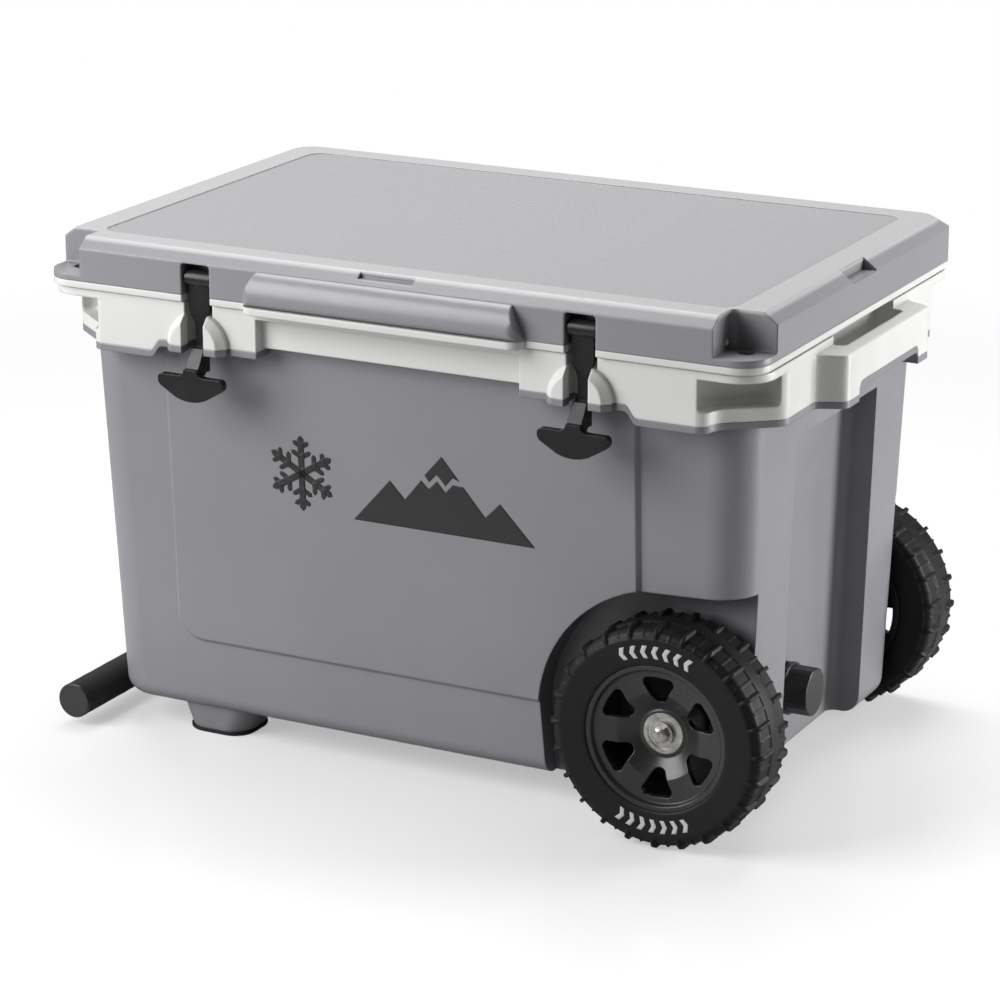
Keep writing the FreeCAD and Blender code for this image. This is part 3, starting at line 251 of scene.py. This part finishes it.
def turned_steel(centre):
    """Steel turned about the wheels' axle, with tool rings round it."""
    recipe = Recipe("turned_steel", (0.40, 0.39, 0.37), 0.32, Metallic=1.0)
    x, _, z = recipe.axes()
    across = recipe.math("POWER", recipe.math("SUBTRACT", x, centre.x), 2.0)
    upward = recipe.math("POWER", recipe.math("SUBTRACT", z, centre.z), 2.0)
    radius = recipe.math("SQRT", recipe.math("ADD", across, upward))
    rings = recipe.math("SINE", recipe.math("MULTIPLY", radius, 9000.0))
    blotch = recipe.steps(recipe.noise(160.0), 0.35, 0.65)
    recipe.colour(recipe.blend(blotch, (0.30, 0.29, 0.275, 1), (0.50, 0.49, 0.465, 1)))
    recipe.roughness(recipe.steps(blotch, 0.0, 1.0, 0.24, 0.40))
    recipe.bump(rings, 0.00004, 0.5)
    return recipe.material


def grip_foam():
    """Closed-cell foam sleeve: dense small pores on a matt skin."""
    recipe = Recipe("grip_foam", (0.009, 0.009, 0.010), 0.85)
    cells = recipe.node("TexVoronoi", {"Vector": recipe.place, "Scale": 1100.0}).outputs["Distance"]
    shade = recipe.steps(cells, 0.0, 0.7)
    recipe.colour(recipe.blend(shade, (0.005, 0.005, 0.006, 1), (0.014, 0.014, 0.015, 1)))
    recipe.roughness(recipe.steps(recipe.noise(40.0), 0.3, 0.7, 0.72, 0.9))
    recipe.bump(cells, 0.0002, 0.8)
    recipe.bump(recipe.noise(90.0, 4.0), 0.0004, 0.4)
    return recipe.material


def powder_coat():
    """Black powder coat with its orange-peel surface."""
    recipe = Recipe("black_metal", (0.02, 0.02, 0.021), 0.42)
    peel = recipe.noise(700.0, 2.0)
    recipe.colour(recipe.blend(peel, (0.016, 0.016, 0.017, 1), (0.030, 0.030, 0.032, 1)))
    recipe.roughness(recipe.steps(peel, 0.3, 0.7, 0.36, 0.5))
    recipe.bump(peel, 0.00012, 0.6)
    return recipe.material


def foam_core():
    """Cut insulating foam, pale yellow with open pores."""
    recipe = Recipe("foam_core", (0.86, 0.80, 0.60), 0.9)
    cells = recipe.node("TexVoronoi", {"Vector": recipe.place, "Scale": 700.0}).outputs["Distance"]
    recipe.colour(recipe.blend(cells, (0.78, 0.71, 0.50, 1), (0.92, 0.87, 0.70, 1)))
    recipe.roughness(recipe.steps(cells, 0.0, 1.0, 0.85, 0.95))
    recipe.bump(cells, 0.0003, 0.8)
    return recipe.material


FINISHES = {
    "shell_grey": moulded("shell_grey", (0.205, 0.205, 0.222), 0.36, edge=0.002).material,
    "lid_grey": lid_plastic(),
    "rim_white": moulded("rim_white", (0.62, 0.62, 0.605), 0.33, 1.05, 0.0022, 0.75).material,
    "liner_white": moulded("liner_white", (0.70, 0.70, 0.685), 0.35, 1.05, shade_share=0.75).material,
    "foam_core": foam_core(),
    "foot_rubber": rubber("foot_rubber", (0.007, 0.007, 0.008), 0.65).material,
    "gasket_rubber": rubber("gasket_rubber", (0.02, 0.02, 0.02), 0.55).material,
    "latch_rubber": rubber("latch_rubber", (0.013, 0.013, 0.014), 0.30, 1800.0, 0.00005, 1.3).material,
    "steel": steel(),
    "black_plastic": moulded("black_plastic", (0.010, 0.010, 0.011), 0.34, wear=1.8).material,
    "black_metal": powder_coat(),
    "tyre": rubber("tyre", (0.010, 0.010, 0.0105), 0.48, 800.0, 0.00006, 1.3, 0.0006, 0.17).material,
    "grip_foam": grip_foam(),
}
RIM_FINISH = moulded("rim_black", (0.016, 0.016, 0.017), 0.30, 2.0, 0.0014).material
TURNED_FINISH = turned_steel(WHEEL_CENTRE)
TURNED_PIECES = ("bearing_inner_races", "bearing_outer_races_front", "bearing_outer_races_back",
                 "axle_washers", "axle_bolts")
MARK_FINISH = moulded("mark_grey", (0.48, 0.48, 0.48), 0.5, wear=1.05).material
GRAPHIC_FINISH = moulded("graphic_black", (0.009, 0.009, 0.010), 0.42, wear=1.3).material


# ---------------------------------------------------------------- CAD nodes

def finish_cad_nodes():
    for part in frame["record"]["subparts"]:
        node = frame["nodes"][part["node"]]
        node.data.materials.clear()
        node.data.materials.append(FINISHES[part["material_slot"]])
    for end in ("front", "back"):
        frame["nodes"]["rim_" + end].data.materials[0] = RIM_FINISH
    for name in TURNED_PIECES:
        frame["nodes"][name].data.materials[0] = TURNED_FINISH


finish_cad_nodes()


# ---------------------------------------------------------------- mesh helpers

def add_piece(name, mesh, material, body, replaces=(), smooth=True):
    data = bpy.data.meshes.new(name)
    mesh.normal_update()
    mesh.to_mesh(data)
    mesh.free()
    data.materials.append(material)
    for face in data.polygons:
        face.use_smooth = smooth
    piece = bpy.data.objects.new(name, data)
    bpy.context.scene.collection.objects.link(piece)
    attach(piece, body)
    if replaces:
        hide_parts(*replaces)
    return piece


def loft(rings):
    """Quads between successive closed rings of points, the last joined to the first."""
    mesh = bmesh.new()
    rows = [[mesh.verts.new(point) for point in ring] for ring in rings]
    count = len(rows)
    for index in range(count):
        here, there = rows[index], rows[(index + 1) % count]
        width = len(here)
        for step in range(width):
            after = (step + 1) % width
            mesh.faces.new((here[step], here[after], there[after], there[step]))
    bmesh.ops.recalc_face_normals(mesh, faces=mesh.faces)
    return mesh


def close_prism(mesh, back, front):
    """Faces between two rings of vertices, and over both of them."""
    count = len(back)
    for index in range(count):
        after = (index + 1) % count
        mesh.faces.new((back[index], back[after], front[after], front[index]))
    mesh.faces.new(list(reversed(back)))
    mesh.faces.new(front)


def sample_arc(start, through, end, count):
    """Points of the circular arc over three points of a plane, the last one left out."""
    a, b, c = Vector(start), Vector(through), Vector(end)
    twice = 2 * ((b - a).x * (c - a).y - (b - a).y * (c - a).x)
    from_b, from_c = (b - a).length_squared, (c - a).length_squared
    centre = a + Vector(((c - a).y * from_b - (b - a).y * from_c,
                         (b - a).x * from_c - (c - a).x * from_b)) / twice
    first = math.atan2((a - centre).y, (a - centre).x)
    swing = math.atan2((c - centre).y, (c - centre).x) - first
    middle = math.atan2((b - centre).y, (b - centre).x) - first
    if not 0 < middle % (2 * math.pi) < swing % (2 * math.pi):
        swing = swing % (2 * math.pi) - 2 * math.pi
    else:
        swing %= 2 * math.pi
    radius = (a - centre).length
    return [(centre.x + radius * math.cos(first + swing * k / count),
             centre.y + radius * math.sin(first + swing * k / count)) for k in range(count)]


def smooth_step(value, low, high):
    share = min(1.0, max(0.0, (value - low) / (high - low)))
    return share * share * (3 - 2 * share)


# ---------------------------------------------------------------- wheels

# sizes of the wheels and the graphic are in millimetres; out is the distance from the cooler's middle
MM = 0.001
LUG_COUNT = 24
TREAD_RADIUS = 95.0
MIDDLE_OUT = 190.5                           # out to the middle of the tread
SIDEWALL_START, SIDEWALL_OUT, SIDEWALL_SLOPE = 66.0, 218.92, 0.079
RIB_HALF, RIB_SLOPE = 1.5, 0.45
RIB_RISE, RIB_LEAST, PAD_DEPTH = 1.95, 0.7, 1.28
PAD_START, PAD_END = 87.5, 199.0             # radius on the sidewall, distance out on the tread


def on_wheel(radius, out, angle, side):
    """A place on the front (side -1) or back (side 1) wheel, at an angle round its axle."""
    return (WHEEL_CENTRE.x + radius * math.cos(angle) * MM, side * out * MM,
            WHEEL_CENTRE.z + radius * math.sin(angle) * MM)


def sidewall_out(radius):
    """How far out the plain sidewall lies at a radius."""
    return SIDEWALL_OUT + SIDEWALL_SLOPE * (radius - SIDEWALL_START)


def tyre_section():
    """Half tyre from its bead to the middle of the tread, as (radius, out)."""
    points = [(60.0, MIDDLE_OUT), (60.0, 215.0), (62.9, 215.4), (62.9, 217.6), (64.0, 218.7)]
    points += [(radius, sidewall_out(radius)) for radius in range(66, 86, 2)]
    points += [(86.0, 220.45), (87.4, 220.35)]
    points += sample_arc((88.2, 220.0), (92.6, 217.6), (94.6, 211.5), 14)
    points += [(94.6 + 0.02 * k, 211.5 - 0.9 * k) for k in range(10)]
    points += [(94.8 + 0.4 * math.sin(math.pi * k / 26), 203.0 - 0.95 * k) for k in range(14)]
    return points


def tyre_angles():
    """Steps round one lug pitch in degrees, close together at the ribs of both rows."""
    near = (-3.6, -2.6, -1.95, -1.5, 0.0, 1.5, 1.95, 2.6, 3.6)
    per_mm = math.degrees(1 / TREAD_RADIUS)
    pitch = 360.0 / LUG_COUNT
    steps = [offset * per_mm + row * pitch / 2 for row in (0, 1) for offset in near]
    steps += [pitch * share for share in (0.19, 0.25, 0.31, 0.69, 0.75, 0.81)]
    return sorted(step % pitch for step in steps)


def tread_rise(radius, out, angle, row):
    """How far a point stands above the smooth tyre, for one row of lugs."""
    pitch = 2 * math.pi / LUG_COUNT
    around = (angle - row * pitch / 2 + pitch / 2) % pitch - pitch / 2
    aside = abs(around) * TREAD_RADIUS
    rib = 1 - smooth_step(aside, RIB_HALF, RIB_HALF + RIB_SLOPE)
    outer = smooth_step(radius, PAD_START - 1, PAD_START + 1.5) * smooth_step(out, PAD_END - 2, PAD_END)
    shoulder = smooth_step(radius, PAD_START, 94.0)
    half_pitch = pitch * TREAD_RADIUS / 2
    ends = 1 - smooth_step(aside, half_pitch - 0.2, half_pitch)
    rib_rise = RIB_LEAST + (RIB_RISE - RIB_LEAST) * shoulder
    return outer * (rib * rib_rise - (1 - rib) * PAD_DEPTH * ends)


def make_tyre(name, side):
    """Rubber tyre with two rows of lugs, half a pitch apart, round its tread."""
    section = tyre_section()
    half = len(section)
    whole = section + [(radius, 2 * MIDDLE_OUT - out) for radius, out in reversed(section[1:-1])]
    tangents = []
    for index in range(len(whole)):
        before, after = Vector(whole[index - 1]), Vector(whole[(index + 1) % len(whole)])
        tangents.append((after - before).normalized())
    angles = [math.radians(step + 360.0 * lug / LUG_COUNT) for lug in range(LUG_COUNT)
              for step in tyre_angles()]
    rings = []
    for angle in angles:
        ring = []
        for index, (radius, out) in enumerate(whole):
            outer_half = index < half
            mirrored = out if outer_half else 2 * MIDDLE_OUT - out
            rise = tread_rise(radius, mirrored, angle, 0 if outer_half else 1)
            normal = (-tangents[index].y, tangents[index].x)
            r = radius + rise * normal[0]
            h = out + rise * normal[1]
            ring.append(on_wheel(r, h, angle, side))
        rings.append(ring)
    mesh = loft(rings)
    add_piece("tyre_rubber_" + name, mesh, FINISHES["tyre"], "wheel_" + name, ["tyre_" + name])


MARK_LOW, MARK_HIGH = 70.0, 81.0             # radii in millimetres
MARK_COUNT, MARK_PITCH = 7, 7.5              # marks in each arc, and degrees from one to the next
MARK_WIDTH, MARK_SWEEP = 3.2, 2.0            # degrees
MARK_SINK, MARK_RISE = -0.4, 0.35


def make_tyre_marks(name, side):
    """Two arcs of pale chevrons moulded on the outer sidewall."""
    middle = (MARK_LOW + MARK_HIGH) / 2
    outline = [(MARK_LOW, 0.0), (middle, MARK_SWEEP), (MARK_HIGH, 0.0),
               (MARK_HIGH, MARK_WIDTH), (middle, MARK_WIDTH + MARK_SWEEP), (MARK_LOW, MARK_WIDTH)]
    mesh = bmesh.new()
    for arc in (90.0, 270.0):
        for index in range(MARK_COUNT):
            start = arc + (index - (MARK_COUNT - 1) / 2) * MARK_PITCH
            rings = []
            for lift in (MARK_SINK, MARK_RISE):
                ring = []
                for radius, offset in outline:
                    turn = math.radians(start + offset - (MARK_WIDTH + MARK_SWEEP) / 2)
                    out = sidewall_out(radius) + lift
                    ring.append(mesh.verts.new(on_wheel(radius, out, turn, side)))
                rings.append(ring)
            close_prism(mesh, *rings)
    bmesh.ops.recalc_face_normals(mesh, faces=mesh.faces)
    add_piece("tyre_marks_" + name, mesh, MARK_FINISH, "wheel_" + name, smooth=False)


for wheel, side in (("front", -1), ("back", 1)):
    make_tyre(wheel, side)
    make_tyre_marks(wheel, side)


# ---------------------------------------------------------------- grip sleeves and lid seal

SLEEVE_BORE, SLEEVE_STATIONS, SLEEVE_SIDES = 0.0091, 28, 64


def make_sleeve(name):
    """Foam sleeve with soft ends and the slight unevenness of cut foam tube."""
    low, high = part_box("grip_foam_" + name)
    centre, radius = (low + high) / 2, (high.x - low.x) / 2
    ends = [(0.0, 0.0017), (0.0003, 0.0007), (0.0011, 0.0001), (0.0022, 0.0)]
    stations = [(SLEEVE_BORE, low.y)] + [(radius - cut, low.y + along) for along, cut in ends]
    for index in range(1, SLEEVE_STATIONS):
        along = low.y + (high.y - low.y) * index / SLEEVE_STATIONS
        uneven = 0.00012 * (1 + math.sin(260 * along + 1.3) * math.cos(97 * along))
        stations.append((radius - uneven, along))
    stations += [(radius - cut, high.y - along) for along, cut in reversed(ends)]
    stations.append((SLEEVE_BORE, high.y))
    stations.sort(key=lambda station: station[1])
    turns = [2 * math.pi * k / SLEEVE_SIDES for k in range(SLEEVE_SIDES)]
    rings = [[(centre.x + r * math.cos(turn), y, centre.z + r * math.sin(turn)) for turn in turns]
             for r, y in stations]
    sleeve = add_piece("grip_sleeve_" + name, loft(rings), FINISHES["grip_foam"],
                       "tow_handle", ["grip_foam_" + name])


for third in ("front", "middle", "back"):
    make_sleeve(third)


SEAL_CORNER, SEAL_WIDTH, SEAL_NECK = 0.030, 0.007, 0.0062
SEAL_FOOT, SEAL_SHOULDER = 0.0008, 0.0012    # depths of the foot's edge and of the bulb's start
BULB_ACROSS, BULB_HIGH, BULB_STEPS = 0.0027, 0.0013, 9
BULB_START, BULB_STEP = 15, 26.25            # degrees
CORNER_STEPS = 12


def make_seal():
    """The lid's seal: a soft bulb on a flat foot, all round."""
    low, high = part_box("lid_gasket")
    section = [(0.0, high.z), (SEAL_WIDTH, high.z), (SEAL_WIDTH, high.z - SEAL_FOOT),
               (SEAL_NECK, high.z - SEAL_SHOULDER)]
    for step in range(BULB_STEPS):
        turn = math.radians(BULB_START - BULB_STEP * step)
        section.append((SEAL_WIDTH / 2 + BULB_ACROSS * math.cos(turn),
                        low.z + BULB_HIGH + BULB_HIGH * math.sin(turn)))
    section += [(SEAL_WIDTH - SEAL_NECK, high.z - SEAL_SHOULDER), (0.0, high.z - SEAL_FOOT)]
    rings = []
    for quarter, (sign_x, sign_y) in enumerate(((1, 1), (-1, 1), (-1, -1), (1, -1))):
        middle_x = sign_x * (high.x - SEAL_CORNER)
        middle_y = sign_y * (high.y - SEAL_CORNER)
        for step in range(CORNER_STEPS + 1):
            turn = math.radians(90 * quarter + 90 * step / CORNER_STEPS)
            rings.append([(middle_x + (SEAL_CORNER - inward) * math.cos(turn),
                           middle_y + (SEAL_CORNER - inward) * math.sin(turn), z)
                          for inward, z in section])
    seal = add_piece("lid_seal", loft(rings), FINISHES["gasket_rubber"], "lid",
                     ["lid_gasket"])


make_seal()


# ---------------------------------------------------------------- front graphic

# the raised panel's face: y and z at its foot, and how far it leans out for each length upwards
PANEL_FOOT, PANEL_LEAN = (-0.1751, 0.026), 0.0175 / 0.378
PEAKS = [(-48, 232), (-12, 272), (2, 257), (18, 276.3), (25, 269.5), (33, 277.5), (41, 268.5),
         (48, 276.5), (58, 275.8), (78, 252), (92, 266), (124, 232)]
SNOW_CAP = [(21.5, 281.5), (38, 300), (54.5, 280.2), (48, 282.5), (41, 274.5), (33, 283.5), (25.5, 275.8)]
FLAKE_CENTRE, FLAKE_REACH, FLAKE_ARMS = (-98, 266), 34, 6
ARM_HALF, TWIG_HALF = 3.0, 2.2
TWIGS, TWIG_SWING = ((0.42, 9.0), (0.70, 7.0)), 60     # share along the arm and length, and degrees
PLATE_SINK, PLATE_RISE, TWIG_RISE = -0.3, 0.30, 0.26


def on_panel(x, z, lift):
    """A place on the front's raised panel, a lift above its face."""
    return (x * MM, PANEL_FOOT[0] - PANEL_LEAN * (z * MM - PANEL_FOOT[1]) - lift * MM, z * MM)


def add_plate(mesh, outline, rise):
    """A thin plate let into the panel's face, with an outline of x and z."""
    rings = [[mesh.verts.new(on_panel(x, z, lift)) for x, z in outline] for lift in (PLATE_SINK, rise)]
    close_prism(mesh, *rings)


def flake_bar(origin, angle, length, half_width):
    """Corners of a bar with a pointed end."""
    along, aside = Vector((math.cos(angle), math.sin(angle))), Vector((-math.sin(angle), math.cos(angle)))
    points = [origin - aside * half_width, origin + along * length - aside * half_width,
              origin + along * (length + half_width), origin + along * length + aside * half_width,
              origin + aside * half_width]
    return [(point.x, point.y) for point in points]


def make_front_graphic():
    """Plain snowflake and mountain mark on the front."""
    mesh = bmesh.new()
    add_plate(mesh, PEAKS, PLATE_RISE)
    add_plate(mesh, SNOW_CAP, PLATE_RISE)
    centre = Vector(FLAKE_CENTRE)
    for arm in range(FLAKE_ARMS):
        angle = math.radians(90 + 360 / FLAKE_ARMS * arm)
        add_plate(mesh, flake_bar(centre, angle, FLAKE_REACH - ARM_HALF, ARM_HALF), PLATE_RISE)
        for share, length in TWIGS:
            root = centre + Vector((math.cos(angle), math.sin(angle))) * FLAKE_REACH * share
            for swing in (-TWIG_SWING, TWIG_SWING):
                twig = flake_bar(root, angle + math.radians(swing), length, TWIG_HALF)
                add_plate(mesh, twig, TWIG_RISE)
    bmesh.ops.recalc_face_normals(mesh, faces=mesh.faces)
    add_piece("front_graphic", mesh, GRAPHIC_FINISH, "base", smooth=False)


make_front_graphic()


# ---------------------------------------------------------------- studio

FLOOR_REACH = 2.6
FADE_START, FADE_END, CLEAR_NEAR = 0.6, 1.7, 0.42      # the floor is 0.42 clear near, wholly clear far out
AMBIENT, BACKDROP = 0.13, 1.0
SOFTBOXES = {                                          # place, target, width, height and power
    "key_light": ((-1.5, -1.65, 1.35), (0.0, -0.1, 0.25), 1.8, 1.7, 80.0),
    "top_light": ((-0.3, 0.7, 2.2), (0.0, 0.0, 0.4), 2.2, 1.4, 56.0),
    "end_light": ((1.5, 0.65, 0.45), (0.3, -0.1, 0.25), 0.7, 0.8, 27.0),
}


def make_floor():
    """Pale floor that fades into the white surround well away from the object."""
    recipe = Recipe("studio_floor", (0.86, 0.86, 0.86), 0.22)
    recipe.roughness(recipe.steps(recipe.noise(2.0), 0.3, 0.7, 0.20, 0.26))
    away = recipe.node("VectorMath", {0: recipe.place}, operation="LENGTH").outputs["Value"]
    clear = recipe.node("BsdfTransparent")
    mix = recipe.node("MixShader", {0: recipe.steps(away, FADE_START, FADE_END, CLEAR_NEAR, 1.0)})
    recipe.tree.links.new(recipe.shader.outputs[0], mix.inputs[1])
    recipe.tree.links.new(clear.outputs[0], mix.inputs[2])
    recipe.tree.links.new(mix.outputs[0], recipe.tree.nodes["Material Output"].inputs["Surface"])
    data = bpy.data.meshes.new("studio_floor")
    corners = [(x * FLOOR_REACH, y * FLOOR_REACH, 0.0) for x, y in ((-1, -1), (1, -1), (1, 1), (-1, 1))]
    data.from_pydata(corners, [], [(0, 1, 2, 3)])
    data.materials.append(recipe.material)
    floor = bpy.data.objects.new("studio_floor", data)
    bpy.context.scene.collection.objects.link(floor)


def make_softbox(name, place, target, width, height, power):
    data = bpy.data.lights.new(name, "AREA")
    data.shape = "RECTANGLE"
    data.size = width
    data.size_y = height
    data.energy = power
    lamp = bpy.data.objects.new(name, data)
    lamp.location = place
    lamp.rotation_euler = (Vector(target) - Vector(place)).to_track_quat("-Z", "Y").to_euler()
    bpy.context.scene.collection.objects.link(lamp)


def make_world():
    """White to the camera, and a weak even light on the object."""
    world = bpy.data.worlds.new("studio")
    world.use_nodes = True
    tree = world.node_tree
    background = tree.nodes["Background"]
    background.inputs["Strength"].default_value = AMBIENT
    background.inputs["Color"].default_value = (1.0, 1.0, 1.0, 1.0)
    seen = tree.nodes.new("ShaderNodeBackground")
    seen.inputs["Color"].default_value = (1.0, 1.0, 1.0, 1.0)
    seen.inputs["Strength"].default_value = BACKDROP
    path = tree.nodes.new("ShaderNodeLightPath")
    mix = tree.nodes.new("ShaderNodeMixShader")
    tree.links.new(path.outputs["Is Camera Ray"], mix.inputs[0])
    tree.links.new(background.outputs[0], mix.inputs[1])
    tree.links.new(seen.outputs[0], mix.inputs[2])
    tree.links.new(mix.outputs[0], tree.nodes["World Output"].inputs["Surface"])
    bpy.context.scene.world = world


make_floor()
make_world()
for lamp_name, settings in SOFTBOXES.items():
    make_softbox(lamp_name, *settings)
bpy.context.scene.view_settings.view_transform = "Standard"
